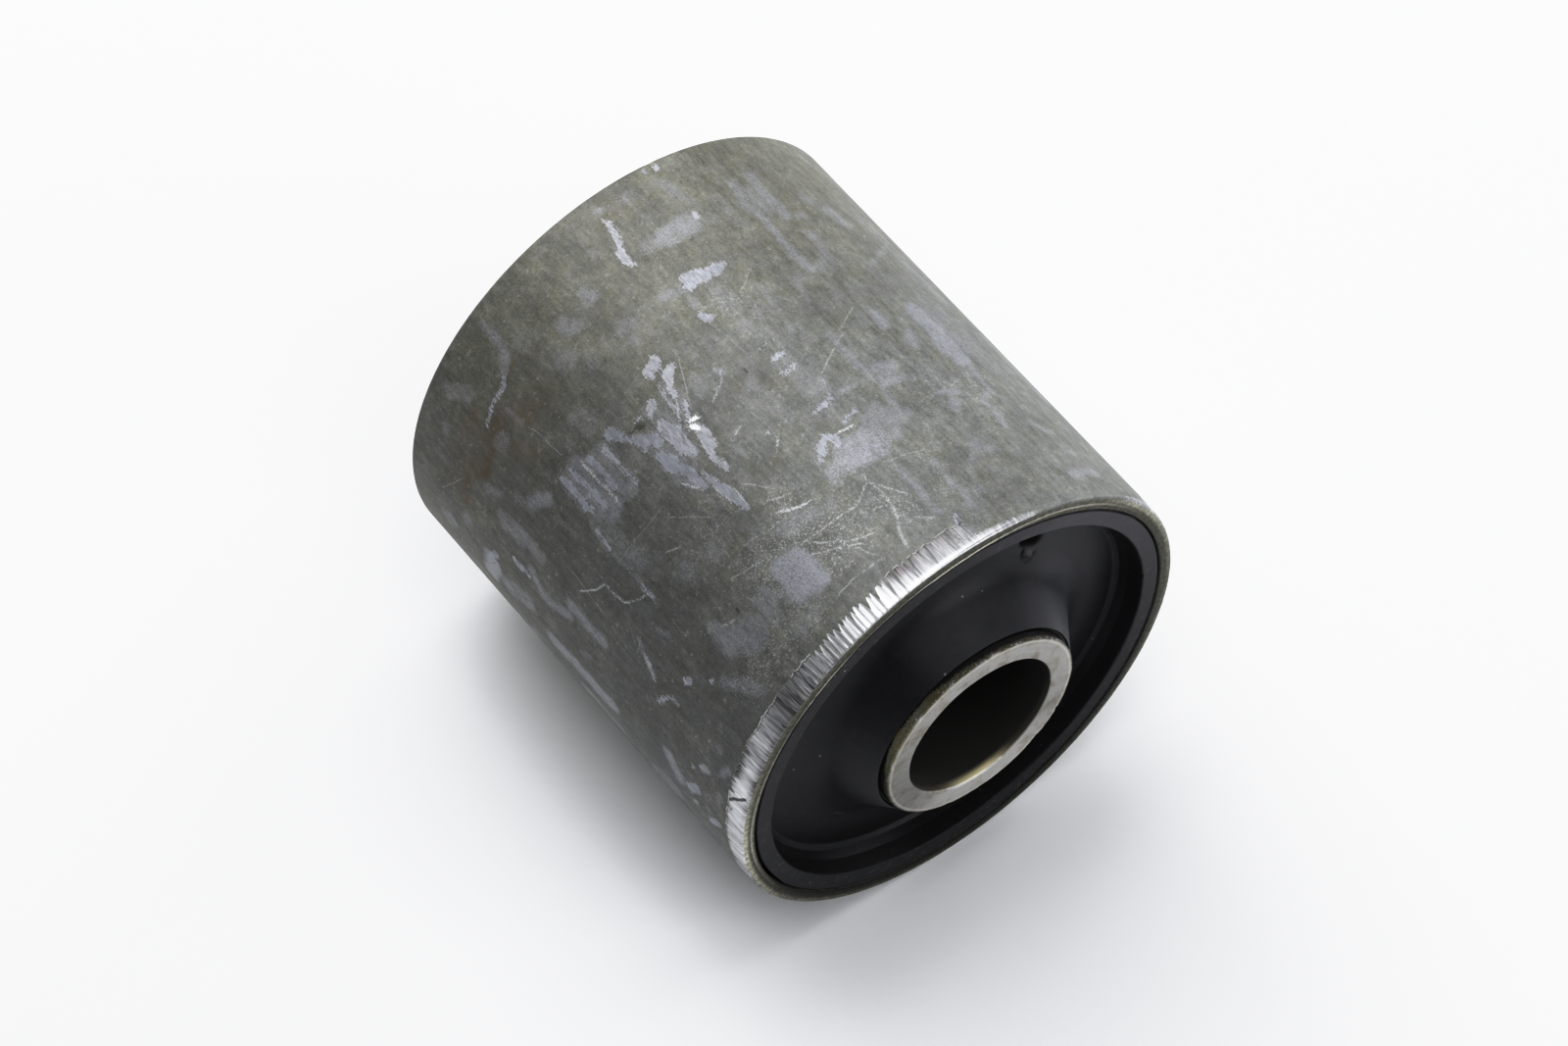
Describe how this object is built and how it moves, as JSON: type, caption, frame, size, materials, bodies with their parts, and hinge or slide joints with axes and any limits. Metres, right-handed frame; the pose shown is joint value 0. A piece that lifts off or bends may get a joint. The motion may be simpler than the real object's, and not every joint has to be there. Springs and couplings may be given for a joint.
{
  "type": "rubber metal bush",
  "caption": "Suspension bush: a steel outer sleeve and a protruding steel inner sleeve with a through bore, bonded by a moulded rubber body with recessed ends.",
  "frame": {"origin": "centre of the inner sleeve's lower end face, which the bush stands on", "axes": "+Z along the bush's axis, towards the end with the gate marks; the worn side that the picture shows faces -Y"},
  "size_m": [0.05, 0.05, 0.058],
  "materials": {
    "outer_steel": "dull phosphated steel with pale scuffs, fine scratches and a bright filed band at the end",
    "rubber": "satin moulded black rubber",
    "inner_steel": "bare turned steel with a rough edge and light rust spots"
  },
  "bodies": {
    "root": {"outer_sleeve": "outer_steel", "rubber_body": "rubber", "inner_sleeve": "inner_steel"}
  },
  "joints": []
}
